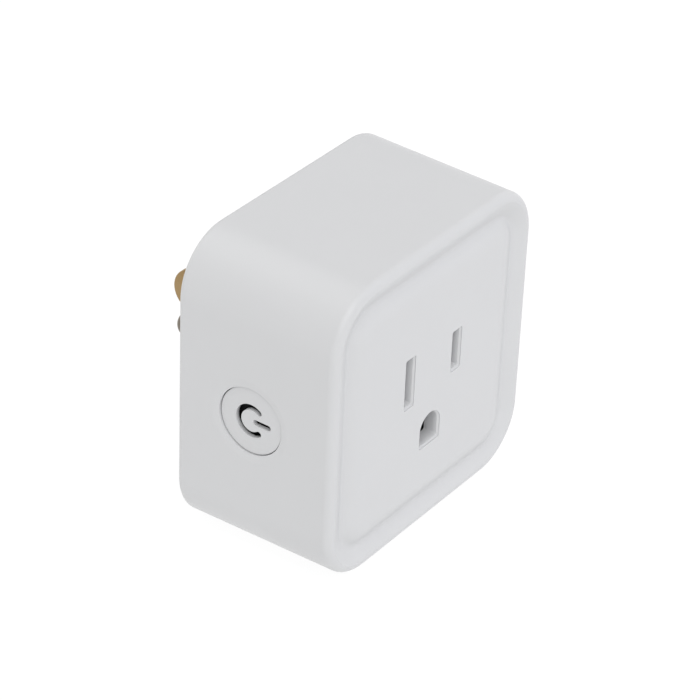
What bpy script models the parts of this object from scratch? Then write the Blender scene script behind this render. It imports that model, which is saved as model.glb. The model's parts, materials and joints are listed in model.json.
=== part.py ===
"""Smart plug: a square switched socket adapter for a three-pin North American outlet.

The row frame has its origin at the centre of the rear face, +Y into the wall, +Z up.
The socket face looks along -Y, and the round push button is on the -X side.
All sizes below are in millimetres; geometry is made in metres.
"""

import math

import bmesh
import bpy
from mathutils import Matrix, Vector

MM = 0.001

# Housing, outside
DEPTH = 30.0                # rear face to front rim
FRONT_HALF_X = 26.6         # half width just behind the front fillet
FRONT_HALF_Z = 26.45
DRAFT = 1.0135              # the rear outline is larger by this factor
CORNER = 10.0               # corner radius of the square outline
FRONT_FILLET = 1.5
REAR_FILLET = 1.0
RIM_CREST = 1.9             # from the outer wall to the end of the rim's flat top
GROOVE = 4.45               # from the outer wall to the bottom of the groove
GROOVE_DEPTH = 1.2
PLATE_EDGE = 7.75           # from the outer wall to the edge of the flat plate
WALL = 2.2
FRONT_WALL = 3.2            # front plane to the inner face

# Gaps and the layers behind the front wall, as depths from the rear face
GAP = 0.3
COVER = 2.2                 # thickness of the rear cover
COVER_HALF = 24.9
SHOULDER = (2.5, 3.7)       # prong shoulders, behind the cover
RETAINER = (4.0, 6.0)
BOARD = (7.5, 9.1)
PARTS_START = 9.4           # components on the board start here

# Socket and prongs, NEMA 5-15
BLADE_X = 6.35              # half of the 12.7 mm between the blades
BLADE_Z = 3.3               # height of the blade line above the centre
GROUND_DROP = 11.9          # ground pin below the blade line
GROUND_Z = BLADE_Z - GROUND_DROP
NEUTRAL_SLOT = (1.85, 8.65)
LINE_SLOT = (1.85, 6.9)
SLOT_FLARE = (0.42, 0.65)   # a slot's mouth widens this much a side, over this depth
GROUND_FLARE = (0.35, 0.6)
GROUND_HOLE_R = 2.45
GROUND_ARCH_Z = GROUND_Z + 0.45     # the hole's arch is centred above the pin
GROUND_FLOOR_Z = GROUND_Z - 2.5     # its flat floor
BLADE_THICK = 1.5
NEUTRAL_BLADE_W = 7.94
LINE_BLADE_W = 6.35
BLADE_LENGTH = 16.9
GROUND_PIN_R = 2.375
GROUND_PIN_LENGTH = 21.1

# Contact carrier behind the front wall
CARRIER_HALF_X = 11.0
CARRIER_Z = (-15.0, 9.2)
CARRIER_FRONT = DEPTH - FRONT_WALL - GAP
CARRIER_WALL = 1.2
CONTACT_STRIP = 0.6
CONTACT_END = 11.0          # the back of the blade contacts, from the rear face

# Push button on the -X wall
BUTTON_Y = -14.2
BUTTON_Z = 0.0
BUTTON_R = 5.8
BUTTON_HOLE_R = 6.05
BUTTON_DISH_R = 7.5         # a shallow dish runs down to the hole
BUTTON_DISH = 0.2
BUTTON_RECESS = 0.25        # the cap's face, below the edge of the hole
BUTTON_FACE_THICK = 0.8
SYMBOL_R = 2.45
SYMBOL_STROKE = 1.0
SYMBOL_OPEN = 53.0          # half of the ring's opening, in degrees
SYMBOL_BAR = (0.4, 3.8)
SYMBOL_BAR_W = 0.92

# Control board, parallel to the -X wall
CONTROL_X = (-17.7, -16.5)
SWITCH_X = (-21.2, -18.0)

# Relay on the main board, above the carrier
RELAY_X = (-9.2, 9.2)
RELAY_Z = (11.0, 21.4)
RELAY_HEIGHT = 15.3
RELAY_AXIS_X = -7.4         # the armature's edge on the yoke
RELAY_COIL_X = -2.9
RELAY_CASE_WALL = 0.6


def clear_scene():
    for thing in list(bpy.data.objects):
        bpy.data.objects.remove(thing, do_unlink=True)


def new_collection(name):
    collection = bpy.data.collections.new(name)
    bpy.context.scene.collection.children.link(collection)
    return collection


def new_material(name, colour, roughness, metallic=0.0):
    material = bpy.data.materials.new(name)
    material.use_nodes = True
    shader = material.node_tree.nodes["Principled BSDF"]
    shader.inputs["Base Color"].default_value = (*colour, 1.0)
    shader.inputs["Roughness"].default_value = roughness
    shader.inputs["Metallic"].default_value = metallic
    return material


def add_object(name, bm, collection, material=None):
    bmesh.ops.recalc_face_normals(bm, faces=bm.faces)
    bmesh.ops.scale(bm, vec=(MM, MM, MM), verts=bm.verts)
    mesh = bpy.data.meshes.new(name)
    bm.to_mesh(mesh)
    bm.free()
    thing = bpy.data.objects.new(name, mesh)
    collection.objects.link(thing)
    if material:
        mesh.materials.append(material)
        mesh.shade_smooth()
        mesh.set_sharp_from_angle(angle=math.radians(35.0))
    else:
        thing.hide_render = True
        thing.display_type = "WIRE"
    return thing


def box_mesh(x, y, z):
    """A box between two corners, each given as a (low, high) pair."""
    bm = bmesh.new()
    bmesh.ops.create_cube(bm, size=1.0)
    size = [high - low for low, high in (x, y, z)]
    centre = [(high + low) / 2 for low, high in (x, y, z)]
    bmesh.ops.scale(bm, vec=size, verts=bm.verts)
    bmesh.ops.translate(bm, vec=centre, verts=bm.verts)
    return bm


def rod_mesh(axis, start, end, across, r_start, r_end=None, sides=32):
    """A cylinder or cone along X or Y; across holds its place on the other two axes."""
    r_end = r_start if r_end is None else r_end
    bm = bmesh.new()
    bmesh.ops.create_cone(bm, cap_ends=True, segments=sides, radius1=r_start,
                          radius2=r_end, depth=end - start)
    middle = (start + end) / 2
    if axis == "X":
        turn = Matrix.Rotation(math.radians(90), 4, "Y")
        place = Vector((middle, across[0], across[1]))
    else:
        turn = Matrix.Rotation(math.radians(-90), 4, "X")
        place = Vector((across[0], middle, across[1]))
    bmesh.ops.transform(bm, matrix=Matrix.Translation(place) @ turn, verts=bm.verts)
    return bm


def rounded_outline(half_x, half_z, radius, steps):
    """Points of a rounded rectangle about the origin, counter-clockwise from +X."""
    points = []
    for corner in range(4):
        sign_x = 1 if corner in (0, 3) else -1
        sign_z = 1 if corner in (0, 1) else -1
        for step in range(steps + 1):
            angle = math.radians(90) * (corner + step / steps)
            points.append((sign_x * (half_x - radius) + radius * math.cos(angle),
                           sign_z * (half_z - radius) + radius * math.sin(angle)))
    return points


def loft_mesh(sections, steps=8):
    """A solid through rounded rectangles: (y, half_x, half_z, radius, centre_x, centre_z)."""
    bm = bmesh.new()
    rings = []
    for y, half_x, half_z, radius, centre_x, centre_z in sections:
        outline = rounded_outline(half_x, half_z, radius, steps)
        rings.append([bm.verts.new((centre_x + x, y, centre_z + z)) for x, z in outline])
    for lower, upper in zip(rings, rings[1:]):
        for index in range(len(lower)):
            after = (index + 1) % len(lower)
            bm.faces.new((lower[index], lower[after], upper[after], upper[index]))
    bm.faces.new(rings[0])
    bm.faces.new(rings[-1])
    return bm


def prism_mesh(outline, axis, start, end, end_outline=None):
    """An outline in the YZ plane pushed along X, or in the XZ plane pushed along Y."""
    bm = bmesh.new()
    ends = []
    for depth, points in ((start, outline), (end, end_outline or outline)):
        if axis == "X":
            ends.append([bm.verts.new((depth, u, v)) for u, v in points])
        else:
            ends.append([bm.verts.new((u, depth, v)) for u, v in points])
    for index in range(len(outline)):
        after = (index + 1) % len(outline)
        bm.faces.new((ends[0][index], ends[0][after], ends[1][after], ends[1][index]))
    bm.faces.new(ends[0])
    bm.faces.new(ends[1])
    return bm


def arc_points(centre, radius, start, end, steps):
    """Points along an arc, its angles in degrees."""
    points = []
    for step in range(steps + 1):
        angle = math.radians(start + (end - start) * step / steps)
        points.append((centre[0] + radius * math.cos(angle),
                       centre[1] + radius * math.sin(angle)))
    return points


class Builder:
    """Makes named parts in one collection and their cutters in another."""

    def __init__(self, name):
        self.parts = new_collection(name)
        self.cutters = new_collection("cutters")
        self.count = 0

    def part(self, name, bm, material, bevel=0.0):
        thing = add_object(name, bm, self.parts, material)
        if bevel:
            modifier = thing.modifiers.new("edges", "BEVEL")
            modifier.width = bevel * MM
            modifier.segments = 1
            modifier.limit_method = "ANGLE"
        return thing

    def combine(self, thing, bm, operation):
        self.count += 1
        tool = add_object(f"cutter_{self.count:03d}", bm, self.cutters)
        modifier = thing.modifiers.new(operation.lower(), "BOOLEAN")
        modifier.operation = operation
        modifier.solver = "EXACT"
        modifier.object = tool

    def cut(self, thing, *shapes):
        for bm in shapes:
            self.combine(thing, bm, "DIFFERENCE")

    def join(self, thing, *shapes):
        for bm in shapes:
            self.combine(thing, bm, "UNION")


def outer_section(inset, y):
    """One section of the front relief: the outline moved in by inset."""
    return (y, FRONT_HALF_X - inset, FRONT_HALF_Z - inset, CORNER - inset, 0, 0)


def housing_sections():
    sections = []
    rear_x = FRONT_HALF_X * DRAFT
    rear_z = FRONT_HALF_Z * DRAFT
    for step in range(3):
        angle = math.radians(45 * step)
        inset = REAR_FILLET * (1 - math.sin(angle))
        sections.append((REAR_FILLET * (math.cos(angle) - 1), rear_x - inset, rear_z - inset,
                         CORNER * DRAFT - inset, 0, 0))
    for step in range(4):
        angle = math.radians(30 * step)
        inset = FRONT_FILLET * (1 - math.cos(angle))
        sections.append(outer_section(inset, FRONT_FILLET * (1 - math.sin(angle)) - DEPTH))
    sections.append(outer_section(RIM_CREST, -DEPTH))
    for step in range(1, 4):
        share = step / 3
        inset = RIM_CREST + (GROOVE - RIM_CREST) * share
        sections.append(outer_section(inset, GROOVE_DEPTH * share ** 1.3 - DEPTH))
    for step in range(1, 6):
        angle = math.radians(18 * step)
        inset = GROOVE + (PLATE_EDGE - GROOVE) * (1 - math.cos(angle))
        rise = math.sin(angle)
        sections.append(outer_section(inset, GROOVE_DEPTH * (1 - rise) - DEPTH))
    return sections


def slot_mesh(centre_x, width, height):
    """A blade slot through the front wall, flared at its mouth."""
    flare, depth = SLOT_FLARE
    radius = 0.3
    half_x = width / 2
    half_z = height / 2
    wide = (half_x + flare, half_z + flare, radius, centre_x, BLADE_Z)
    narrow = (half_x, half_z, radius, centre_x, BLADE_Z)
    return loft_mesh([(-DEPTH - 1.0, *wide), (-DEPTH, *wide), (-DEPTH + depth, *narrow),
                      (-DEPTH + FRONT_WALL + 1.0, *narrow)], steps=2)


def ground_outline(grow):
    """The D of the ground hole: a half circle over a flat floor."""
    radius = GROUND_HOLE_R + grow
    outline = arc_points((0, GROUND_ARCH_Z), radius, 0, 180, 12)
    outline.append((-radius, GROUND_FLOOR_Z - grow))
    outline.append((radius, GROUND_FLOOR_Z - grow))
    return outline


def button_wall_x():
    """The drafted -X wall's outer face at the button."""
    share = (DEPTH + BUTTON_Y) / DEPTH
    return -FRONT_HALF_X * (1 + (DRAFT - 1) * share)


def build_housing(make, plastic):
    housing = make.part("housing_shell", loft_mesh(housing_sections()), plastic)
    inner_x = FRONT_HALF_X - WALL
    inner_z = FRONT_HALF_Z - WALL
    ledge = SHOULDER[0]
    rebate = COVER_HALF + GAP
    cavity = loft_mesh([(1.0, rebate, rebate, CORNER - WALL, 0, 0),
                        (-ledge, rebate, rebate, CORNER - WALL, 0, 0),
                        (-ledge, inner_x, inner_z, CORNER - WALL, 0, 0),
                        (-DEPTH + FRONT_WALL, inner_x, inner_z, CORNER - WALL, 0, 0)])
    slots = [slot_mesh(-BLADE_X, *NEUTRAL_SLOT), slot_mesh(BLADE_X, *LINE_SLOT)]
    ground = prism_mesh(ground_outline(0), "Y", -DEPTH - 1.0, -DEPTH + FRONT_WALL + 1.0)
    flare, depth = GROUND_FLARE
    mouth = prism_mesh(ground_outline(2 * flare), "Y", -DEPTH - depth, -DEPTH + depth,
                       ground_outline(0))
    across = (BUTTON_Y, BUTTON_Z)
    wall_x = button_wall_x()
    slope = (BUTTON_DISH_R - BUTTON_HOLE_R) / BUTTON_DISH
    dish = rod_mesh("X", wall_x - 1.0, wall_x + BUTTON_DISH, across,
                    BUTTON_DISH_R + slope * 1.0, BUTTON_HOLE_R, 48)
    hole = rod_mesh("X", wall_x - 1.0, -inner_x + 1.0, across, BUTTON_HOLE_R, sides=48)
    make.cut(housing, cavity, *slots, ground, mouth, dish, hole)


def retainer_screw_places():
    return [("left", -14.2), ("right", 14.2)]


def build_rear_cover(make, plastic):
    radius = CORNER - WALL - GAP
    cover = make.part("rear_cover", loft_mesh([(0, COVER_HALF, COVER_HALF, radius, 0, 0),
                                               (-COVER, COVER_HALF, COVER_HALF, radius, 0, 0)]),
                      plastic)
    posts = [rod_mesh("Y", -BOARD[0] + GAP, -COVER + 0.5, (x, z), 2.0, sides=20)
             for x in (-18.5, 18.5) for z in (-18.5, 18.5)]
    bosses = [rod_mesh("Y", -SHOULDER[1], -COVER + 0.5, (x, -2.0), 2.8, sides=24)
              for _, x in retainer_screw_places()]
    make.join(cover, *posts, *bosses)
    cuts = [rod_mesh("Y", -SHOULDER[1] - 1.0, -0.8, (x, -2.0), 1.3, sides=20)
            for _, x in retainer_screw_places()]
    for x, width in ((-BLADE_X, NEUTRAL_BLADE_W), (BLADE_X, LINE_BLADE_W)):
        half = BLADE_THICK / 2 + GAP
        cuts.append(box_mesh((x - half, x + half), (-COVER - 1.0, 1.0),
                             (BLADE_Z - width / 2 - GAP, BLADE_Z + width / 2 + GAP)))
    cuts.append(rod_mesh("Y", -COVER - 1.0, 1.0, (0, GROUND_Z), GROUND_PIN_R + GAP))
    make.cut(cover, *cuts)


def blade_outline(width):
    """Side view of a prong: a round end, straight edges, shoulders and a narrow tail."""
    radius = width / 2
    outline = arc_points((BLADE_LENGTH - radius, BLADE_Z), radius, -90, 90, 16)
    shoulder = radius + 1.2
    tail = (BLADE_Z - 3.2, BLADE_Z - 0.9)
    outline += [(-SHOULDER[0], BLADE_Z + radius), (-SHOULDER[0], BLADE_Z + shoulder),
                (-SHOULDER[1], BLADE_Z + shoulder), (-SHOULDER[1], tail[1]),
                (-BOARD[1] - 0.5, tail[1]), (-BOARD[1] - 0.5, tail[0]),
                (-SHOULDER[1], tail[0]), (-SHOULDER[1], BLADE_Z - shoulder),
                (-SHOULDER[0], BLADE_Z - shoulder), (-SHOULDER[0], BLADE_Z - radius)]
    return outline


def build_prongs(make, brass, nickel):
    blades = (("neutral_blade", -BLADE_X, NEUTRAL_BLADE_W), ("line_blade", BLADE_X, LINE_BLADE_W))
    for name, x, width in blades:
        make.part(name, prism_mesh(blade_outline(width), "X", x - BLADE_THICK / 2,
                                   x + BLADE_THICK / 2), brass, bevel=0.25)
    tip = GROUND_PIN_LENGTH - GROUND_PIN_R
    profile = [(-7.1, 1.4), (-6.1, 1.4), (-6.1, 2.0), (-SHOULDER[1], 2.0),
               (-SHOULDER[1], 3.4), (-SHOULDER[0], 3.4), (-SHOULDER[0], GROUND_PIN_R)]
    profile += arc_points((tip, 0), GROUND_PIN_R, 90, 18, 4)
    bm = bmesh.new()
    rings = []
    sides = 24
    for y, radius in profile:
        ring = [bm.verts.new((radius * math.cos(math.tau * k / sides), y,
                              GROUND_Z + radius * math.sin(math.tau * k / sides)))
                for k in range(sides)]
        rings.append(ring)
    for lower, upper in zip(rings, rings[1:]):
        for k in range(sides):
            after = (k + 1) % sides
            bm.faces.new((lower[k], lower[after], upper[after], upper[k]))
    end = bm.verts.new((0, GROUND_PIN_LENGTH, GROUND_Z))
    for k in range(sides):
        bm.faces.new((rings[-1][k], rings[-1][(k + 1) % sides], end))
    bm.faces.new(rings[0])
    make.part("ground_pin", bm, nickel)


def build_retainer(make, plastic, steel):
    retainer = make.part("prong_retainer", box_mesh((-17.2, 17.2), (-RETAINER[1], -RETAINER[0]),
                                                    (-13.2, 8.2)), plastic, bevel=0.4)
    cuts = [rod_mesh("Y", -RETAINER[1] - 1, -RETAINER[0] + 1, (0, GROUND_Z), 2.3, sides=24)]
    for x in (-BLADE_X, BLADE_X):
        half = BLADE_THICK / 2 + GAP
        cuts.append(box_mesh((x - half, x + half), (-RETAINER[1] - 1, -RETAINER[0] + 1),
                             (BLADE_Z - 3.5, BLADE_Z - 0.6)))
    for side, x in retainer_screw_places():
        cuts.append(rod_mesh("Y", -RETAINER[1] - 1, -RETAINER[0] + 1, (x, -2.0), 1.3, sides=20))
        screw = make.part(f"retainer_screw_{side}",
                          rod_mesh("Y", -RETAINER[1] - 1.2, -RETAINER[1] - GAP, (x, -2.0),
                                   2.2, sides=24), steel)
        make.join(screw, rod_mesh("Y", -RETAINER[1] - 0.8, -1.2, (x, -2.0), 1.0, sides=16))
        make.cut(screw, box_mesh((x - 1.5, x + 1.5), (-8.2, -6.75), (-2.25, -1.75)),
                 box_mesh((x - 0.25, x + 0.25), (-8.2, -6.75), (-3.5, -0.5)))
    make.cut(retainer, *cuts)


def build_carrier(make, plastic):
    carrier = make.part("contact_carrier",
                        box_mesh((-CARRIER_HALF_X, CARRIER_HALF_X),
                                 (-CARRIER_FRONT, -PARTS_START), CARRIER_Z), plastic, bevel=0.6)
    back = -PARTS_START + 1.0
    floor = -CARRIER_FRONT + CARRIER_WALL
    front = -CARRIER_FRONT - 1.0
    cuts = []
    for x in (-BLADE_X, BLADE_X):
        cuts.append(box_mesh((x - 3.0, x + 3.0), (floor, back), (BLADE_Z - 4.6, BLADE_Z + 4.6)))
        cuts.append(box_mesh((x - 1.3, x + 1.3), (front, floor + 1.0),
                             (BLADE_Z - 4.5, BLADE_Z + 4.5)))
    cuts.append(box_mesh((-3.9, 3.9), (floor, back), (GROUND_Z - 5.3, GROUND_Z + 4.4)))
    cuts.append(prism_mesh(ground_outline(GAP), "Y", front, floor + 1.0))
    make.cut(carrier, *cuts)


def strip_mesh(path, low, high):
    """A bent strip as an open surface: a path in the XY plane, from low to high Z."""
    bm = bmesh.new()
    rows = [[bm.verts.new((x, y, z)) for x, y in path] for z in (low, high)]
    for index in range(len(path) - 1):
        bm.faces.new((rows[0][index], rows[0][index + 1], rows[1][index + 1], rows[1][index]))
    return bm


def thicken(thing, thickness):
    modifier = thing.modifiers.new("sheet", "SOLIDIFY")
    modifier.thickness = thickness * MM
    modifier.offset = 0.0
    modifier.use_even_offset = True


def build_contacts(make, brass):
    leaf = [(1.9, -25.0), (1.15, -22.6), (1.15, -21.2), (1.7, -19.0), (1.9, -CONTACT_END - 0.6),
            (1.5, -CONTACT_END)]
    for name, centre, height in (("neutral_contact", -BLADE_X, 7.6), ("line_contact", BLADE_X, 6.4)):
        path = [(centre - x, y) for x, y in leaf] + [(centre + x, y) for x, y in leaf[::-1]]
        contact = make.part(name, strip_mesh(path, BLADE_Z - height / 2, BLADE_Z + height / 2),
                            brass)
        thicken(contact, CONTACT_STRIP)
        tail = box_mesh((centre - 1.2, centre + 1.2), (-CONTACT_END, -BOARD[0] - 0.2),
                        (BLADE_Z + 1.0, BLADE_Z + 1.6))
        make.join(contact, tail)
    build_ground_contact(make, brass)


def build_ground_contact(make, brass):
    """Two leaves beside the ground pin's path, on a web below it."""
    leaf = [(2.9, GROUND_Z + 3.4), (2.5, GROUND_Z + 1.6), (2.5, GROUND_Z - 1.0),
            (3.1, GROUND_Z - 3.0), (2.7, GROUND_Z - 3.7)]
    path = [(-x, z) for x, z in leaf] + leaf[::-1]
    bm = bmesh.new()
    rows = [[bm.verts.new((x, y, z)) for x, z in path] for y in (-24.6, -12.2)]
    for index in range(len(path) - 1):
        bm.faces.new((rows[0][index], rows[0][index + 1], rows[1][index + 1], rows[1][index]))
    thicken(make.part("ground_contact", bm, brass), CONTACT_STRIP)
    strap = make.part("ground_strap", box_mesh((-3.0, 3.0), (-6.9, -6.3),
                                               (-13.6, GROUND_Z + 3.4)), brass)
    make.join(strap, box_mesh((-2.4, 2.4), (-16.0, -6.3), (-13.6, -13.1)))
    make.cut(strap, rod_mesh("Y", -7.5, -5.7, (0, GROUND_Z), 1.7, sides=20))


def build_main_board(make, laminate):
    radius = 7.0
    board = make.part("main_board", loft_mesh([(-BOARD[0], 23.6, 23.4, radius, 0, 0),
                                               (-BOARD[1], 23.6, 23.4, radius, 0, 0)], steps=4),
                      laminate)
    through = (-BOARD[1] - 1, -BOARD[0] + 1)
    cuts = []
    for x in (-BLADE_X, BLADE_X):
        cuts.append(box_mesh((x - 1.1, x + 1.1), through, (BLADE_Z - 3.5, BLADE_Z - 0.6)))
        cuts.append(box_mesh((x - 1.5, x + 1.5), through, (BLADE_Z + 0.7, BLADE_Z + 1.9)))
    cuts.append(box_mesh((-3.4, 3.4), through, (-14.4, GROUND_Z + 3.6)))
    notch = BUTTON_R + 1.8
    cuts.append(box_mesh((-25.0, -22.7), through, (BUTTON_Z - notch, BUTTON_Z + notch)))
    make.cut(board, *cuts)


def build_relay(make, finish):
    """A sugar-cube relay: its coil stands on the base and pulls a hinged armature down."""
    foot = -PARTS_START
    top = foot - RELAY_HEIGHT
    middle_z = (RELAY_Z[0] + RELAY_Z[1]) / 2
    wall = RELAY_CASE_WALL
    inner_x = (RELAY_X[0] + wall + GAP, RELAY_X[1] - wall - GAP)
    inner_z = (RELAY_Z[0] + wall + GAP, RELAY_Z[1] - wall - GAP)
    make.part("relay_base", box_mesh(inner_x, (foot - 1.4, foot), inner_z), finish["black"], 0.3)
    case = make.part("relay_case", box_mesh(RELAY_X, (top, foot), RELAY_Z), finish["relay"], 0.5)
    make.cut(case, box_mesh((RELAY_X[0] + wall, RELAY_X[1] - wall), (top + wall, foot + 1.0),
                            (RELAY_Z[0] + wall, RELAY_Z[1] - wall)))
    across = (RELAY_COIL_X, middle_z)
    deck = foot - 1.4 - GAP
    bobbin = make.part("relay_bobbin", rod_mesh("Y", deck - 8.6, deck, across, 2.1, sides=24),
                       finish["ivory"])
    for start in (deck - 8.6, deck - 0.6):
        make.join(bobbin, rod_mesh("Y", start, start + 0.6, across, 3.7, sides=24))
    make.cut(bobbin, rod_mesh("Y", deck - 10, deck + 1, across, 1.6, sides=20))
    winding = make.part("relay_winding", rod_mesh("Y", deck - 7.7, deck - 0.9, across, 3.4,
                                                  sides=24), finish["copper"])
    make.cut(winding, rod_mesh("Y", deck - 9, deck + 1, across, 2.4, sides=24))
    core = make.part("relay_core", rod_mesh("Y", deck - 9.0, deck - 0.3, across, 1.3, sides=20),
                     finish["steel"])
    pole = deck - 9.9
    make.join(core, rod_mesh("Y", pole, deck - 8.9, across, 2.4, sides=24))
    half_z = 3.2
    sides_z = (middle_z - half_z, middle_z + half_z)
    make.part("relay_yoke", box_mesh((RELAY_AXIS_X - 0.6, RELAY_AXIS_X + 0.6), (pole + 0.1, deck),
                                     sides_z), finish["steel"], 0.2)
    face = pole - 0.65
    armature = make.part("relay_armature", box_mesh((RELAY_AXIS_X - 0.5, 0.2), (face - 0.9, face),
                                                    sides_z), finish["steel"], 0.15)
    place_origin(armature, (RELAY_AXIS_X, face, middle_z))
    spring = make.part("relay_contact_spring",
                       box_mesh((-4.6, 7.3), (face - 1.5, face - 1.2),
                                (middle_z - 1.8, middle_z + 1.8)), finish["brass"])
    make.join(spring, rod_mesh("Y", face - 1.4, face + 0.1, (6.0, middle_z), 1.2, sides=20))
    place_origin(spring, (RELAY_AXIS_X, face, middle_z))
    seat = face + 1.25
    post = make.part("relay_fixed_contact",
                     box_mesh((4.6, 7.6), (seat + 0.5, seat + 1.1),
                              (middle_z - 1.6, middle_z + 1.6)), finish["brass"])
    make.join(post, box_mesh((7.0, 7.6), (seat + 0.7, deck), (middle_z - 1.6, middle_z + 1.6)),
              rod_mesh("Y", seat, seat + 0.7, (6.0, middle_z), 1.2, sides=20))


def place_origin(thing, point):
    """Moves a piece's origin to a point in millimetres; the piece stays where it is."""
    origin = Vector(point) * MM
    thing.data.transform(Matrix.Translation(-origin))
    thing.location = origin


def build_board_parts(make, finish):
    foot = -PARTS_START
    make.part("film_capacitor", box_mesh((-6.5, 6.5), (foot - 11.0, foot), (-22.6, -16.8)),
              finish["yellow"], 0.5)
    for name, radius, height, x, z in (("input_capacitor", 4.0, 12.5, 18.2, -13.0),
                                       ("output_capacitor", 3.15, 11.0, 12.2, -18.6)):
        can = make.part(name, rod_mesh("Y", foot - height, foot, (x, z), radius), finish["sleeve"])
        make.cut(can, *[box_mesh((x - a, x + a), (foot - height - 1, foot - height + 0.2),
                                 (z - b, z + b)) for a, b in ((1.8, 0.15), (0.15, 1.8))])
    disc = make.part("varistor", rod_mesh("X", 13.2, 16.2, (foot - 5.6, 16.6), 4.2), finish["blue"])
    make.join(disc, box_mesh((14.2, 15.2), (foot - 3.0, foot), (14.4, 15.0)),
              box_mesh((14.2, 15.2), (foot - 3.0, foot), (18.2, 18.8)))
    make.part("fuse_resistor", rod_mesh("Y", foot - 9.5, foot, (19.6, 13.0), 1.7, sides=24),
              finish["grey"])
    choke = make.part("power_inductor", rod_mesh("Y", foot - 6.5, foot, (17.0, 1.5), 2.6, sides=28),
                      finish["ferrite"])
    for start in (foot - 6.5, foot - 1.0):
        make.join(choke, rod_mesh("Y", start, start + 1.0, (17.0, 1.5), 4.0, sides=28))
    winding = make.part("inductor_winding", rod_mesh("Y", foot - 5.2, foot - 1.3, (17.0, 1.5), 3.7,
                                                     sides=28), finish["copper"])
    make.cut(winding, rod_mesh("Y", foot - 7, foot + 1, (17.0, 1.5), 2.9, sides=28))
    make.part("bridge_rectifier", box_mesh((13.4, 17.6), (foot - 1.8, foot), (8.0, 11.6)),
              finish["black"], 0.2)
    make.part("converter_chip", box_mesh((12.6, 16.4), (foot - 1.6, foot), (-8.0, -4.4)),
              finish["black"], 0.2)


def build_control_board(make, finish):
    low, high = CONTROL_X
    board = make.part("control_board", box_mesh((low, high), (-25.6, -PARTS_START),
                                                (-15.5, 15.5)), finish["laminate"])
    make.cut(board, box_mesh((low - 1, high + 1), (-27, -21.0), (11.0, 17)))
    make.part("shield_can", box_mesh((high + GAP, high + 2.6), (-24.6, -13.0), (-11.5, 4.5)),
              finish["tin"], 0.3)
    make.part("pin_header", box_mesh((high + GAP, high + 2.6), (-11.9, -PARTS_START),
                                     (-11.5, 10.0)), finish["black"], 0.2)
    for name, z in (("status_led_upper", BUTTON_Z + 4.6), ("status_led_lower", BUTTON_Z - 4.6)):
        make.part(name, box_mesh((low - GAP - 0.9, low - GAP), (BUTTON_Y - 0.9, BUTTON_Y + 0.9),
                                 (z - 0.6, z + 0.6)), finish["led"], 0.1)
    across = (BUTTON_Y, BUTTON_Z)
    switch = make.part("tactile_switch_body",
                       box_mesh(SWITCH_X, (BUTTON_Y - 3, BUTTON_Y + 3),
                                (BUTTON_Z - 3, BUTTON_Z + 3)), finish["black"], 0.3)
    make.cut(switch, rod_mesh("X", SWITCH_X[0] - 1, SWITCH_X[0] + 1.8, across, 2.0, sides=24))
    make.part("tactile_switch_plunger",
              rod_mesh("X", SWITCH_X[0] - 0.9, SWITCH_X[0] + 1.0, across, 1.6, sides=24),
              finish["black"])


def symbol_cutters(start, end):
    """The ring, open towards the front, and the bar in its opening."""
    centre = (BUTTON_Y, BUTTON_Z)
    half = SYMBOL_STROKE / 2
    first = 180 + SYMBOL_OPEN
    last = 540 - SYMBOL_OPEN
    outline = arc_points(centre, SYMBOL_R + half, first, last, 28)
    tip = arc_points(centre, SYMBOL_R, last, last, 1)[0]
    outline += arc_points(tip, half, last, last + 180, 6)[1:-1]
    outline += arc_points(centre, SYMBOL_R - half, last, first, 28)
    tip = arc_points(centre, SYMBOL_R, first, first, 1)[0]
    outline += arc_points(tip, half, first + 180, first + 360, 6)[1:-1]
    ring = prism_mesh(outline, "X", start, end)
    half = SYMBOL_BAR_W / 2
    near = (BUTTON_Y - SYMBOL_BAR[0] - half, BUTTON_Z)
    far = (BUTTON_Y - SYMBOL_BAR[1] + half, BUTTON_Z)
    outline = arc_points(near, half, -90, 90, 6) + arc_points(far, half, 90, 270, 6)
    return ring, prism_mesh(outline, "X", start, end)


def build_button(make, plastic, smoke):
    across = (BUTTON_Y, BUTTON_Z)
    face = button_wall_x() + BUTTON_DISH + BUTTON_RECESS
    floor = face + BUTTON_FACE_THICK
    inner = -FRONT_HALF_X + WALL
    rim = inner + GAP
    cap = make.part("button_cap", rod_mesh("X", face, rim + 0.8, across, BUTTON_R, sides=48),
                    plastic)
    make.join(cap, rod_mesh("X", rim, rim + 0.8, across, BUTTON_R + 1.1, sides=48))
    make.cut(cap, rod_mesh("X", floor, rim + 2, across, BUTTON_R - 0.9, sides=48),
             *symbol_cutters(face - 1, floor + 1))
    guide = make.part("button_light_guide",
                      rod_mesh("X", floor + GAP, rim + 0.8, across, BUTTON_R - 1.2, sides=40),
                      smoke)
    make.join(guide, rod_mesh("X", rim + 0.5, SWITCH_X[0] - 0.9 - GAP, across, 1.4, sides=24))


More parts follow.
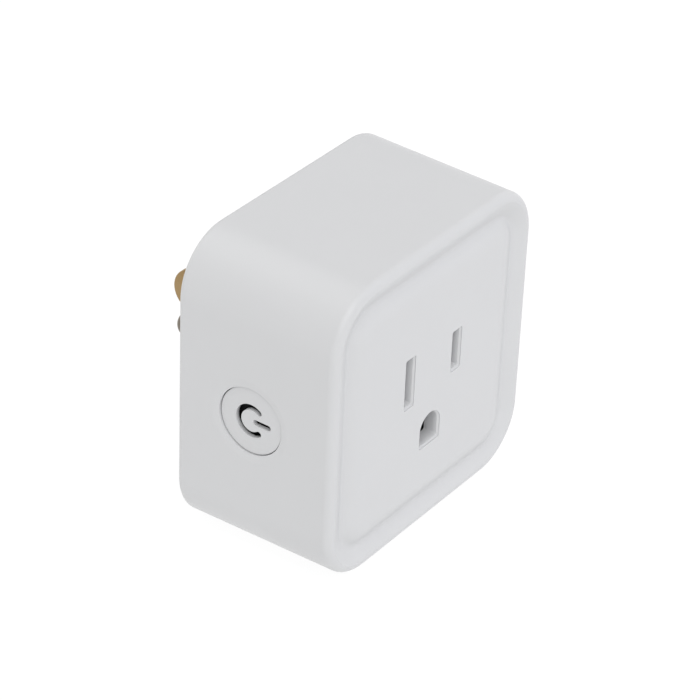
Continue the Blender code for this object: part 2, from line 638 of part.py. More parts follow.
def build():
    clear_scene()
    make = Builder("smart_plug")
    white = (0.80, 0.81, 0.82)
    plastic = new_material("white_plastic", white, 0.42)
    cover = new_material("cover_plastic", white, 0.5)
    button = new_material("button_plastic", (0.78, 0.79, 0.80), 0.4)
    brass = new_material("brass", (0.72, 0.52, 0.26), 0.3, 1.0)
    nickel = new_material("nickel", (0.62, 0.61, 0.58), 0.3, 1.0)
    smoke = new_material("smoke_guide", (0.05, 0.05, 0.055), 0.3)
    finish = {
        "black": new_material("black_plastic", (0.03, 0.03, 0.03), 0.5),
        "relay": new_material("relay_case", (0.03, 0.12, 0.35), 0.4),
        "ivory": new_material("ivory_nylon", (0.75, 0.72, 0.6), 0.5),
        "nylon": new_material("dark_nylon", (0.05, 0.05, 0.055), 0.55),
        "copper": new_material("copper_wire", (0.6, 0.25, 0.12), 0.35, 1.0),
        "steel": new_material("steel", (0.55, 0.55, 0.56), 0.3, 1.0),
        "brass": brass,
        "yellow": new_material("yellow_case", (0.7, 0.5, 0.05), 0.4),
        "sleeve": new_material("capacitor_sleeve", (0.03, 0.03, 0.05), 0.3),
        "blue": new_material("varistor_blue", (0.03, 0.12, 0.4), 0.35),
        "grey": new_material("resistor_grey", (0.35, 0.36, 0.35), 0.5),
        "ferrite": new_material("ferrite", (0.07, 0.07, 0.07), 0.6),
        "laminate": new_material("board_laminate", (0.03, 0.18, 0.07), 0.4),
        "tin": new_material("tin_plate", (0.7, 0.7, 0.7), 0.3, 1.0),
        "led": new_material("led_package", (0.85, 0.83, 0.6), 0.3),
    }
    build_housing(make, plastic)
    build_rear_cover(make, cover)
    build_prongs(make, brass, nickel)
    build_retainer(make, finish["black"], finish["steel"])
    build_carrier(make, finish["nylon"])
    build_contacts(make, brass)
    build_main_board(make, finish["laminate"])
    build_relay(make, finish)
    build_board_parts(make, finish)
    build_control_board(make, finish)
    build_button(make, button, smoke)


build()
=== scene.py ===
import json
import math

import bmesh
import bpy
from mathutils import Matrix, Vector


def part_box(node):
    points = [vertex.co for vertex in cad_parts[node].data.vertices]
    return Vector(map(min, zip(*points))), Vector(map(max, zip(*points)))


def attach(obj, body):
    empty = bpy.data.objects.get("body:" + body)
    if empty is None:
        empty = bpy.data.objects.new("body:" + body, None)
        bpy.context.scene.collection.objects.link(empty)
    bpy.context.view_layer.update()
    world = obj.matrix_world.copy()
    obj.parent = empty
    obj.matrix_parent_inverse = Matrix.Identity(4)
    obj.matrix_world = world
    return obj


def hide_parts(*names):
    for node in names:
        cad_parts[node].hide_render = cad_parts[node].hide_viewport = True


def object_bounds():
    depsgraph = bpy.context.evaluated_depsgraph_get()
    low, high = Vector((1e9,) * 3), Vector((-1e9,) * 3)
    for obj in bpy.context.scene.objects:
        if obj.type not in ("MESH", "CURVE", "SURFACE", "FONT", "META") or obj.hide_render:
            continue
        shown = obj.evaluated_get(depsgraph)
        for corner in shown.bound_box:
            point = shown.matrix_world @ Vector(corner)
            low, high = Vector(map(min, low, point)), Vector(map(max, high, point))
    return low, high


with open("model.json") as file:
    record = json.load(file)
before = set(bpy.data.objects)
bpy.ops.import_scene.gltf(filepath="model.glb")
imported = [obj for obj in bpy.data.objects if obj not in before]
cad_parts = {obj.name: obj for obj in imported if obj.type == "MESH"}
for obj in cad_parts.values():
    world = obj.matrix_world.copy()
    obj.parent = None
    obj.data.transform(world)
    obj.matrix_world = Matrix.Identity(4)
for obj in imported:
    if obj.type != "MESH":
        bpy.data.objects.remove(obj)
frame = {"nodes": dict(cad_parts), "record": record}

CAD_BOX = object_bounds()
MM = 0.001

# ---------------------------------------------------------------- sizes, from the frame
def corners(node):
    """The lowest and highest corners of a CAD node, in millimetres."""
    low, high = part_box(node)
    return low / MM, high / MM


SHELL_LOW, SHELL_HIGH = corners("housing_shell")
DEPTH = -SHELL_LOW.y
REAR_HALF_X = SHELL_HIGH.x
REAR_HALF_Z = SHELL_HIGH.z
DRAFT = 1.0135              # the rear outline over the front one
FRONT_HALF_X = REAR_HALF_X / DRAFT
FRONT_HALF_Z = REAR_HALF_Z / DRAFT
CORNER = 10.0
FRONT_FILLET = 1.5
REAR_FILLET = 1.0
RIM_CREST = 1.5             # how far in from the outline the rim starts to fall
GROOVE = 4.45               # how far in the groove is deepest
GROOVE_DEPTH = 1.35
PLATE_EDGE = 7.9            # how far in the plate is level
RELIEF_BLUR = 0.55          # half the width over which the relief is softened
WALL = 2.2
FRONT_WALL = 3.2
LEDGE = 2.5                 # depth of the rebate that the rear cover sits in

BLADE_X = 6.35              # half of the 12.7 mm between the blades
BLADE_Z = 3.3               # height of the blade line above the centre
BLADE_W = {"neutral_blade": 7.94, "line_blade": 6.35}
GROUND_Z = BLADE_Z - 11.9
GROUND_PIN_R = 2.375
SHOULDER = (2.5, 3.7)       # the prongs' shoulders, in depth from the rear face
SHOULDER_RISE = 1.2         # how far a blade's shoulders stand out from its edges
NEUTRAL_SLOT = (1.85, 8.65)
LINE_SLOT = (1.85, 6.9)
SLOT_FLARE = (0.42, 1.5)    # a slot's mouth widens this much a side, over this depth
GROUND_FLARE = (0.35, 1.2)
FLARE_EDGE = 0.16           # a mouth starts with a square step this deep
FLARE_CHAMFER = 0.26        # and a chamfer at 45 degrees
GROUND_HOLE_R = 2.45
GROUND_ARCH_Z = GROUND_Z + 0.45
GROUND_FLOOR_Z = GROUND_Z - 2.5
POCKET_DEPTH = 2.75         # where the ground hole widens, behind the front face

BUTTON_LOW, BUTTON_HIGH = corners("button_cap")
BUTTON_Y = (BUTTON_LOW.y + BUTTON_HIGH.y) / 2
BUTTON_Z = (BUTTON_LOW.z + BUTTON_HIGH.z) / 2
BUTTON_FACE = BUTTON_LOW.x
BUTTON_HOLE_R = 6.0
BUTTON_R = 5.88
BUTTON_FLANGE_R = (BUTTON_HIGH.y - BUTTON_LOW.y) / 2
BUTTON_RECESS = 0.25
DISH_R = 7.6
DISH_DEPTH = 0.2
SYMBOL_R = 2.45
SYMBOL_STROKE = 1.0
SYMBOL_OPEN = 53.0          # half of the ring's gap, in degrees
SYMBOL_BAR = (0.4, 3.8)     # the bar's two ends, out from the centre
SYMBOL_BAR_W = 0.98
FACE_THICK = 0.8            # of the cap behind its face
FLANGE_THICK = 0.8          # of the cap's flange, behind the shell's wall
CAP_WALL = 0.9

GAP = 0.3                   # between pieces that nearly touch
COVER_GAP = 0.25            # round the rear cover
COVER = 2.2                 # thickness of the rear cover
COVER_EDGE = 0.35           # radius of its outer edge
PRONG_CHAMFER = 0.35        # round each prong's opening
SCREW_X = 14.2              # the two screws that hold the prong retainer
SCREW_Z = -2.0
POST_AT = 18.5              # the four posts under the main board
LABEL_PANEL = (15.0, 5.0, 1.2, 16.5)    # half width, half height, corner radius, height

BOARD_FACE = -9.1           # the main board's component side
BOARD_BACK = -7.5
WIRE_PITCH = 0.24           # between the turns of the windings

# Studio
WORLD_STRENGTH = 0.42
FLOOR_GLOW = 0.89
SUN_ANGLE = 50.0            # every light is a broad softbox


# ---------------------------------------------------------------- mesh helpers
def new_object(name, bm, sharp=35.0):
    """An object from a mesh drawn in millimetres, with edges over the angle left sharp."""
    bmesh.ops.recalc_face_normals(bm, faces=bm.faces)
    bmesh.ops.scale(bm, vec=(MM, MM, MM), verts=bm.verts)
    mesh = bpy.data.meshes.new(name)
    bm.to_mesh(mesh)
    bm.free()
    mesh.shade_smooth()
    mesh.set_sharp_from_angle(angle=math.radians(sharp))
    piece = bpy.data.objects.new(name, mesh)
    bpy.context.scene.collection.objects.link(piece)
    return piece


def settle(piece, sharp=35.0):
    """Applies a piece's modifiers."""
    graph = bpy.context.evaluated_depsgraph_get()
    mesh = bpy.data.meshes.new_from_object(piece.evaluated_get(graph))
    piece.modifiers.clear()
    piece.data = mesh
    mesh.shade_smooth()
    mesh.set_sharp_from_angle(angle=math.radians(sharp))


def combine(piece, operation, tools, sharp=35.0):
    """Cuts or joins shapes with exact Booleans, and removes the tools."""
    helpers = []
    for number, bm in enumerate(tools):
        helper = new_object(f"{piece.name}_tool_{number}", bm)
        modifier = piece.modifiers.new(helper.name, "BOOLEAN")
        modifier.operation = operation
        modifier.solver = "EXACT"
        modifier.object = helper
        helpers.append(helper)
    settle(piece, sharp)
    for helper in helpers:
        bpy.data.objects.remove(helper)


def soften(piece, width, segments=2, angle=40.0):
    """Rounds the edges sharper than the angle."""
    modifier = piece.modifiers.new("edges", "BEVEL")
    modifier.width = width * MM
    modifier.segments = segments
    modifier.limit_method = "ANGLE"
    modifier.angle_limit = math.radians(angle)


def even_normals(piece):
    """Keeps large faces looking flat beside their rounded edges."""
    modifier = piece.modifiers.new("flat faces", "WEIGHTED_NORMAL")
    modifier.mode = "FACE_AREA"
    modifier.keep_sharp = True


def box(x, y, z):
    """A block from its (low, high) pairs along each axis."""
    bm = bmesh.new()
    bmesh.ops.create_cube(bm, size=1.0)
    size = [high - low for low, high in (x, y, z)]
    centre = [(high + low) / 2 for low, high in (x, y, z)]
    bmesh.ops.scale(bm, vec=size, verts=bm.verts)
    bmesh.ops.translate(bm, vec=centre, verts=bm.verts)
    return bm


def rounded_outline(half_x, half_z, radius, steps):
    """A rectangle with round corners, each corner in equal steps."""
    points = []
    for corner in range(4):
        sign_x = 1 if corner in (0, 3) else -1
        sign_z = 1 if corner in (0, 1) else -1
        for step in range(steps + 1):
            angle = math.radians(90) * (corner + step / steps)
            points.append((sign_x * (half_x - radius) + radius * math.cos(angle),
                           sign_z * (half_z - radius) + radius * math.sin(angle)))
    return points


def bridge(bm, rings):
    """Joins each ring of points to the next one with faces."""
    for lower, upper in zip(rings, rings[1:]):
        for index in range(len(lower)):
            after = (index + 1) % len(lower)
            bm.faces.new((lower[index], lower[after], upper[after], upper[index]))


def loft(sections, steps=16):
    """A solid through rounded rectangles: (y, half_x, half_z, radius, centre_x, centre_z)."""
    bm = bmesh.new()
    rings = []
    for y, half_x, half_z, radius, centre_x, centre_z in sections:
        outline = rounded_outline(half_x, half_z, radius, steps)
        rings.append([bm.verts.new((centre_x + x, y, centre_z + z)) for x, z in outline])
    bridge(bm, rings)
    bm.faces.new(rings[0])
    bm.faces.new(rings[-1])
    return bm


def turned(axis, centre, profile, sides=96, tube=False):
    """A solid of revolution along X or Y: profile holds (place along the axis, radius).

    A tube's profile runs out along its outer side and back along its bore.
    """
    bm = bmesh.new()
    rings = []
    for along, radius in profile:
        ring = []
        for side in range(sides):
            u = centre[0] + radius * math.cos(math.tau * side / sides)
            v = centre[1] + radius * math.sin(math.tau * side / sides)
            ring.append(bm.verts.new((along, u, v) if axis == "X" else (u, along, v)))
        rings.append(ring)
    if tube:
        bridge(bm, rings + rings[:1])
    else:
        bridge(bm, rings)
        bm.faces.new(rings[0])
        bm.faces.new(rings[-1])
    return bm


def stack(layers, axis="Y"):
    """A solid through outlines with the same number of points: (place along the axis, outline)."""
    bm = bmesh.new()
    rings = []
    for along, outline in layers:
        rings.append([bm.verts.new((along, u, v) if axis == "X" else (u, along, v))
                      for u, v in outline])
    bridge(bm, rings)
    bm.faces.new(rings[0])
    bm.faces.new(rings[-1])
    return bm


def prism(outline, start, end):
    """An outline in the YZ plane, pushed along X."""
    return stack([(start, outline), (end, outline)], "X")


def arc(centre, radius, start, end, steps):
    """Points along an arc, its angles in degrees."""
    points = []
    for step in range(steps + 1):
        angle = math.radians(start + (end - start) * step / steps)
        points.append((centre[0] + radius * math.cos(angle),
                       centre[1] + radius * math.sin(angle)))
    return points


# ---------------------------------------------------------------- materials
class Nodes:
    """A Principled material and short calls to add nodes to it."""

    def __init__(self, name, roughness, metallic=0.0):
        self.material = bpy.data.materials.new(name)
        self.material.use_nodes = True
        self.tree = self.material.node_tree
        self.shader = self.tree.nodes["Principled BSDF"]
        self.shader.inputs["Roughness"].default_value = roughness
        self.shader.inputs["Metallic"].default_value = metallic
        self.place = self.tree.nodes.new("ShaderNodeTexCoord").outputs["Object"]

    def noise(self, scale, detail=2.0, stretch=None):
        node = self.tree.nodes.new("ShaderNodeTexNoise")
        node.inputs["Scale"].default_value = scale
        node.inputs["Detail"].default_value = detail
        place = self.place
        if stretch:
            mapping = self.tree.nodes.new("ShaderNodeMapping")
            mapping.inputs["Scale"].default_value = stretch
            self.tree.links.new(place, mapping.inputs["Vector"])
            place = mapping.outputs["Vector"]
        self.tree.links.new(place, node.inputs["Vector"])
        return node.outputs["Fac"]

    def ramp(self, value, stops):
        node = self.tree.nodes.new("ShaderNodeValToRGB")
        node.color_ramp.elements[0].position = stops[0][0]
        node.color_ramp.elements[0].color = (*stops[0][1], 1.0)
        node.color_ramp.elements[1].position = stops[-1][0]
        node.color_ramp.elements[1].color = (*stops[-1][1], 1.0)
        for position, colour in stops[1:-1]:
            node.color_ramp.elements.new(position).color = (*colour, 1.0)
        self.tree.links.new(value, node.inputs["Fac"])
        return node.outputs["Color"]

    def spread(self, value, low, high):
        node = self.tree.nodes.new("ShaderNodeMapRange")
        node.inputs["To Min"].default_value = low
        node.inputs["To Max"].default_value = high
        self.tree.links.new(value, node.inputs["Value"])
        return node.outputs["Result"]

    def bump(self, value, strength, distance):
        node = self.tree.nodes.new("ShaderNodeBump")
        node.inputs["Strength"].default_value = strength
        node.inputs["Distance"].default_value = distance
        self.tree.links.new(value, node.inputs["Height"])
        self.tree.links.new(node.outputs["Normal"], self.shader.inputs["Normal"])

    def feed(self, output, socket):
        self.tree.links.new(output, self.shader.inputs[socket])


def blend(colour, factor):
    """A colour made lighter or darker."""
    return tuple(channel * factor for channel in colour)


def plastic(name, colour, roughness, grain=5200.0, strength=0.05, mottle=0.005, gloss=0.5):
    """Moulded plastic: a fine spark grain, a faint unevenness of tone and gloss."""
    made = Nodes(name, roughness)
    cloud = made.noise(90.0, 3.0)
    made.feed(made.ramp(cloud, [(0.3, blend(colour, 1 - mottle)), (0.7, blend(colour, 1 + mottle))]),
              "Base Color")
    made.feed(made.spread(made.noise(400.0, 2.0), roughness - 0.05, roughness + 0.05), "Roughness")
    made.shader.inputs["Specular IOR Level"].default_value = gloss
    made.bump(made.noise(grain, 2.0), strength, 0.00002)
    return made.material


def metal(name, bright, dark, roughness, stretch):
    """Drawn or stamped metal: fine lines along the working direction and a patchy film."""
    made = Nodes(name, roughness, 1.0)
    film = made.noise(260.0, 4.0)
    made.feed(made.ramp(film, [(0.3, dark), (0.65, bright)]), "Base Color")
    lines = made.noise(900.0, 3.0, stretch)
    made.feed(made.spread(lines, roughness - 0.08, roughness + 0.12), "Roughness")
    made.bump(lines, 0.15, 0.00002)
    return made.material


def circuit_board(name):
    """Green solder mask over raised tracks in rows, fine in some areas and broad in others."""
    made = Nodes(name, 0.35)
    nodes, link = made.tree.nodes, made.tree.links.new
    split = nodes.new("ShaderNodeSeparateXYZ")
    along = nodes.new("ShaderNodeMath")
    flat = nodes.new("ShaderNodeCombineXYZ")
    link(made.place, split.inputs["Vector"])
    link(split.outputs["X"], along.inputs[0])
    link(split.outputs["Y"], along.inputs[1])
    link(along.outputs["Value"], flat.inputs["X"])
    link(split.outputs["Z"], flat.inputs["Y"])
    rows = []
    for width, height, gap in ((14.0, 0.8, 0.11), (21.0, 1.9, 0.28)):
        bricks = nodes.new("ShaderNodeTexBrick")
        bricks.offset = 0.37
        bricks.inputs["Scale"].default_value = 1.0 / MM
        bricks.inputs["Brick Width"].default_value = width
        bricks.inputs["Row Height"].default_value = height
        bricks.inputs["Mortar Size"].default_value = gap
        bricks.inputs["Mortar Smooth"].default_value = 0.2
        link(flat.outputs["Vector"], bricks.inputs["Vector"])
        rows.append(bricks.outputs["Fac"])
    mix = nodes.new("ShaderNodeMix")
    region = made.ramp(made.noise(110.0, 1.0), [(0.47, (0, 0, 0)), (0.49, (1, 1, 1))])
    link(region, mix.inputs["Factor"])
    link(rows[0], mix.inputs["A"])
    link(rows[1], mix.inputs["B"])
    tracks = mix.outputs["Result"]
    made.feed(made.ramp(tracks, [(0.3, (0.012, 0.085, 0.03)), (0.7, (0.021, 0.13, 0.046))]),
              "Base Color")
    made.bump(tracks, 0.3, 0.00003)
    return made.material


def make_materials():
    """One material for each of the record's slots."""
    white = (0.62, 0.622, 0.628)
    return {
        "white_plastic": plastic("white plastic", white, 0.42),
        "cover_plastic": plastic("cover plastic", blend(white, 0.98), 0.5, grain=3600.0,
                                 strength=0.2),
        "button_plastic": plastic("button plastic", white, 0.38),
        "brass": metal("brass", (0.38, 0.265, 0.135), (0.32, 0.215, 0.10), 0.33, (1, 0.15, 1)),
        "nickel": metal("nickel", (0.195, 0.168, 0.132), (0.155, 0.133, 0.102), 0.34, (1, 0.15, 1)),
        "steel": metal("steel", (0.60, 0.60, 0.61), (0.42, 0.42, 0.43), 0.3, (0.3, 1, 1)),
        "tin": metal("tin plate", (0.76, 0.76, 0.75), (0.60, 0.60, 0.59), 0.34, (1, 1, 0.3)),
        "copper": metal("enamelled copper", (0.72, 0.30, 0.13), (0.45, 0.16, 0.07), 0.3,
                        (0.1, 6, 0.1)),
        "laminate": circuit_board("solder mask"),
        "smoke_guide": plastic("smoked guide", (0.003, 0.003, 0.0035), 0.6, mottle=0.1, gloss=0.1),
        "black_plastic": plastic("black plastic", (0.028, 0.028, 0.03), 0.5, mottle=0.08),
        "dark_nylon": plastic("dark nylon", (0.03, 0.03, 0.032), 0.55, mottle=0.08),
        "relay_case": plastic("relay case", (0.02, 0.09, 0.30), 0.35, mottle=0.05),
        "ivory_nylon": plastic("ivory nylon", (0.72, 0.69, 0.58), 0.5, mottle=0.03),
        "yellow_case": plastic("yellow case", (0.72, 0.47, 0.05), 0.4, mottle=0.04),
        "sleeve": plastic("shrink sleeve", (0.02, 0.02, 0.035), 0.3, mottle=0.1),
        "varistor_blue": plastic("dipped epoxy", (0.02, 0.10, 0.38), 0.3, mottle=0.06),
        "resistor_grey": plastic("resistor coat", (0.30, 0.31, 0.30), 0.55, mottle=0.05),
        "ferrite": plastic("ferrite", (0.05, 0.05, 0.052), 0.65, mottle=0.12),
        "led": plastic("led package", (0.85, 0.80, 0.50), 0.3, mottle=0.05),
    }


def wear(piece, material):
    """Gives a piece one material."""
    piece.data.materials.clear()
    piece.data.materials.append(material)


def place(piece, body, slot, *nodes):
    """Finishes a piece: its material, the body it moves with, and the CAD nodes it stands for."""
    wear(piece, MATERIALS[slot])
    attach(piece, body)
    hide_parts(*nodes)


# ---------------------------------------------------------------- housing
def shell_section(inset, y):
    """A section drawn in from the front outline, at one depth."""
    return (y, FRONT_HALF_X - inset, FRONT_HALF_Z - inset, CORNER - inset, 0, 0)


def relief(inset):
    """Depth of the front face below its plane: a rim, a groove and a pillowed plate."""
    if inset < RIM_CREST or inset > PLATE_EDGE:
        return 0.0
    if inset < GROOVE:
        return GROOVE_DEPTH * ((inset - RIM_CREST) / (GROOVE - RIM_CREST)) ** 1.2
    return GROOVE_DEPTH * (1 - (inset - GROOVE) / (PLATE_EDGE - GROOVE)) ** 1.8


def soft_relief(inset, samples=12):
    """The relief averaged over a short width, which rounds the groove's bottom."""
    shifts = [RELIEF_BLUR * (2 * k / samples - 1) for k in range(samples + 1)]
    return sum(relief(inset + shift) for shift in shifts) / len(shifts)


def shell_sections():
    """The shell's outside, from the rear face's edge round to the middle of the plate."""
    sections = []
    for step in range(7):
        angle = math.radians(90 / 6 * step)
        inset = REAR_FILLET * (1 - math.sin(angle))
        sections.append((REAR_FILLET * (math.cos(angle) - 1), REAR_HALF_X - inset,
                         REAR_HALF_Z - inset, CORNER * DRAFT - inset, 0, 0))
    for step in range(9):
        angle = math.radians(90 / 8 * step)
        inset = FRONT_FILLET * (1 - math.cos(angle))
        sections.append(shell_section(inset, FRONT_FILLET * (1 - math.sin(angle)) - DEPTH))
    rings = 36
    width = PLATE_EDGE + RELIEF_BLUR - FRONT_FILLET
    for step in range(1, rings + 1):
        inset = FRONT_FILLET + width * step / rings
        sections.append(shell_section(inset, soft_relief(inset) - DEPTH))
    return sections


def flare_steps(flare, depth, steps=5):
    """Depths and widenings of a mouth: a square step, a chamfer, then a drafted wall."""
    chamfer_end = FLARE_EDGE + FLARE_CHAMFER
    rest = flare - FLARE_CHAMFER
    found = [(-DEPTH - 1.0, flare), (-DEPTH + FLARE_EDGE, flare)]
    for step in range(steps + 1):
        share = step / steps
        found.append((-DEPTH + chamfer_end + (depth - chamfer_end) * share, rest * (1 - share) ** 2))
    found.append((-DEPTH + FRONT_WALL + 1.0, 0.0))
    return found


def slot_tool(centre_x, width, height):
    """A blade slot with its flared mouth."""
    sections = []
    for y, grow in flare_steps(*SLOT_FLARE):
        sections.append((y, width / 2 + grow, height / 2 + grow, 0.2 + 0.3 * grow, centre_x, BLADE_Z))
    return loft(sections, steps=4)


def ground_outline(grow):
    """The D of the ground hole: a half circle over a flat floor with small round corners."""
    radius = GROUND_HOLE_R + grow
    turn = 0.35
    low = GROUND_FLOOR_Z - grow + turn
    return (arc((0, GROUND_ARCH_Z), radius, 0, 180, 32) + arc((turn - radius, low), turn, 180, 270, 4)
            + arc((radius - turn, low), turn, 270, 360, 4))


def dish_tool(wall_x):
    """The shallow dish round the button, tilted with the drafted wall."""
    profile = [(-1.0, DISH_R)]
    for step in range(9):
        share = step / 8
        fall = 0.15 * share + 0.85 * share ** 2
        profile.append((DISH_DEPTH * fall, DISH_R + (BUTTON_HOLE_R - DISH_R) * share))
    bm = turned("X", (0, 0), profile, 128)
    tilt = math.atan((REAR_HALF_X - FRONT_HALF_X) / DEPTH)
    spin = Matrix.Rotation(tilt, 4, "Z")
    bmesh.ops.transform(bm, verts=bm.verts,
                        matrix=Matrix.Translation((wall_x, BUTTON_Y, BUTTON_Z)) @ spin)
    return bm


def build_shell():
    """The white housing: one moulding, cut open behind and at the socket and the button."""
    shell = new_object("shell", loft(shell_sections(), steps=20))
    inner_x = FRONT_HALF_X - WALL
    inner_z = FRONT_HALF_Z - WALL
    inner_y = -DEPTH + FRONT_WALL
    rebate = corners("rear_cover")[1].x + COVER_GAP
    radius = CORNER - WALL
    cavity = loft([(1.0, rebate, rebate, radius, 0, 0),
                   (-LEDGE, rebate, rebate, radius, 0, 0),
                   (-LEDGE - 0.01, inner_x, inner_z, radius, 0, 0),
                   (inner_y, inner_x, inner_z, radius, 0, 0)])
    ground = stack([(y, ground_outline(grow)) for y, grow in flare_steps(*GROUND_FLARE)])
    pocket = stack([(y, ground_outline(0.9)) for y in (-DEPTH + POCKET_DEPTH, inner_y + 1.0)])
    wall_x = BUTTON_FACE - BUTTON_RECESS - DISH_DEPTH
    hole = turned("X", (BUTTON_Y, BUTTON_Z), [(wall_x - 1.0, BUTTON_HOLE_R),
                                              (-inner_x + 1.0, BUTTON_HOLE_R)], 128)
    combine(shell, "DIFFERENCE", [cavity, slot_tool(-BLADE_X, *NEUTRAL_SLOT),
                                  slot_tool(BLADE_X, *LINE_SLOT), ground, pocket,
                                  dish_tool(wall_x), hole], sharp=28.0)
    even_normals(shell)
    place(shell, "housing", "white_plastic", "housing_shell")


# ---------------------------------------------------------------- rear cover
def opening_tool(half_x, half_z, radius, x, z):
    """A prong's opening through the cover, with a small chamfer at the rear face."""
    grow = PRONG_CHAMFER
    wide = (half_x + grow, half_z + grow, radius + grow, x, z)
    narrow = (half_x, half_z, radius, x, z)
    return loft([(1.0, *wide), (0.0, *wide), (-grow, *narrow), (-COVER - 1.0, *narrow)], steps=12)


def build_back_cover():
    """The rear cover, its board posts and screw bosses, and a blank label panel."""
    low, high = corners("rear_cover")
    radius = CORNER - WALL - GAP
    sections = []
    for step in range(5):
        angle = math.radians(22.5 * step)
        inset = COVER_EDGE * (1 - math.sin(angle))
        sections.append((-COVER_EDGE * (1 - math.cos(angle)), high.x - inset, high.z - inset,
                         radius - inset, 0, 0))
    sections.append((-COVER, high.x, high.z, radius, 0, 0))
    cover = new_object("back_cover", loft(sections, steps=16))
    root = -COVER + 0.5
    posts = [turned("Y", (x, z), [(low.y, 1.5), (low.y + 0.5, 2.0), (root, 2.0)], 48)
             for x in (-POST_AT, POST_AT) for z in (-POST_AT, POST_AT)]
    bosses = [turned("Y", (x, SCREW_Z), [(-SHOULDER[1], 2.8), (root, 2.8)], 48)
              for x in (-SCREW_X, SCREW_X)]
    combine(cover, "UNION", posts + bosses)
    cuts = [turned("Y", (x, SCREW_Z), [(-SHOULDER[1] - 1.0, 1.3), (-0.8, 1.3)], 32)
            for x in (-SCREW_X, SCREW_X)]
    for node, x in (("neutral_blade", -BLADE_X), ("line_blade", BLADE_X)):
        blade_low, blade_high = corners(node)
        half_width = (blade_high.z - blade_low.z) / 2 - SHOULDER_RISE
        thick = (blade_high.x - blade_low.x) / 2
        cuts.append(opening_tool(thick + GAP, half_width + GAP, GAP, x, BLADE_Z))
    bore = GROUND_PIN_R + GAP
    cuts.append(opening_tool(bore, bore, bore - 0.005, 0, GROUND_Z))    # all but round
    half_x, half_z, round_off, height = LABEL_PANEL
    panel = loft([(y, half_x, half_z, round_off, 0, height) for y in (1.0, -0.2)], steps=8)
    combine(cover, "DIFFERENCE", cuts + [panel], sharp=30.0)
    even_normals(cover)
    place(cover, "housing", "cover_plastic", "rear_cover")


# ---------------------------------------------------------------- button
def symbol_tools(start, end):
    """The symbol's open ring and its bar, both with round ends."""
    centre = (BUTTON_Y, BUTTON_Z)
    half = SYMBOL_STROKE / 2
    first = 180 + SYMBOL_OPEN
    last = 540 - SYMBOL_OPEN
    ring = arc(centre, SYMBOL_R + half, first, last, 64)
    tip = arc(centre, SYMBOL_R, last, last, 1)[0]
    ring += arc(tip, half, last, last + 180, 12)[1:-1]
    ring += arc(centre, SYMBOL_R - half, last, first, 64)
    tip = arc(centre, SYMBOL_R, first, first, 1)[0]
    ring += arc(tip, half, first + 180, first + 360, 12)[1:-1]
    half = SYMBOL_BAR_W / 2
    near = (BUTTON_Y - SYMBOL_BAR[0] - half, BUTTON_Z)
    far = (BUTTON_Y - SYMBOL_BAR[1] + half, BUTTON_Z)
    bar = arc(near, half, -90, 90, 12) + arc(far, half, 90, 270, 12)
    return [prism(outline, start, end) for outline in (ring, bar)]


def build_button():
    """The cap: a thin face with the symbol cut through it, a skirt and a flange."""
    centre = (BUTTON_Y, BUTTON_Z)
    rim = BUTTON_HIGH.x - FLANGE_THICK
    edge = 0.12
    profile = [(BUTTON_FACE + edge * (1 - math.sin(angle)), BUTTON_R - edge * (1 - math.cos(angle)))
               for angle in (math.radians(90 - 15 * step) for step in range(7))]
    profile += [(rim, BUTTON_R), (rim, BUTTON_FLANGE_R), (BUTTON_HIGH.x, BUTTON_FLANGE_R)]
    cap = new_object("push_button", turned("X", centre, profile, 128))
    floor = BUTTON_FACE + FACE_THICK
    bore_r = BUTTON_R - CAP_WALL
    bore = turned("X", centre, [(floor, bore_r), (BUTTON_HIGH.x + 1, bore_r)], 96)
    combine(cap, "DIFFERENCE", [bore, *symbol_tools(BUTTON_FACE - 1, floor + 0.5)], sharp=28.0)
    soften(cap, 0.05)
    settle(cap, 30.0)
    even_normals(cap)
    place(cap, "button", "button_plastic", "button_cap")


# ---------------------------------------------------------------- prongs
def build_blade(name, node):
    """A prong blade: its round end and long edges are coined to a soft bevel."""
    low, high = corners(node)
    radius = BLADE_W[node] / 2
    near, far = (-depth for depth in SHOULDER)
    tail_low, tail_high = BLADE_Z - 3.2, BLADE_Z - 0.9
    outline = arc((high.y - radius, BLADE_Z), radius, -90, 90, 40)
    outline += [(near, BLADE_Z + radius), (near, high.z), (far, high.z), (far, tail_high),
                (low.y, tail_high), (low.y, tail_low), (far, tail_low), (far, low.z),
                (near, low.z), (near, BLADE_Z - radius)]
    blade = new_object(name, prism(outline, low.x, high.x))
    soften(blade, 0.32, 3)
    settle(blade, 50.0)
    even_normals(blade)
    place(blade, "housing", "brass", node)


def build_ground_pin():
    """The round ground prong: a domed tip, a collar under the cover and a solder tail."""
    low, high = corners("ground_pin")
    near, far = (-depth for depth in SHOULDER)
    step = far - 2.4
    collar = 3.4
    edge = 0.2
    profile = [(low.y, 1.2), (low.y + edge, 1.4), (step, 1.4), (step, 2.0), (far, 2.0),
               (far, collar - edge), (far + edge, collar), (near - edge, collar),
               (near, collar - edge), (near, GROUND_PIN_R)]
    profile += arc((high.y - GROUND_PIN_R, 0), GROUND_PIN_R, 90, 4, 20)
    pin = new_object("ground_prong", turned("Y", (0, GROUND_Z), profile, 64))
    even_normals(pin)
    place(pin, "housing", "nickel", "ground_pin")


# ---------------------------------------------------------------- inner pieces
# Joints on the board's rear side: (x, z)
SOLDER_PLACES = [(-5.0, -19.7), (5.0, -19.7), (18.2, -14.2), (18.2, -11.8), (12.2, -19.9),
                 (12.2, -17.3), (14.4, 14.4), (15.0, 18.8), (19.6, 13.0), (17.0, -2.0),
                 (17.0, 5.0), (-7.4, 13.4), (-7.4, 19.0), (7.3, 14.6), (7.3, 17.8),
                 (-17.0, -8.5), (-17.0, -3.4), (-17.0, 1.7), (-17.0, 6.8)]
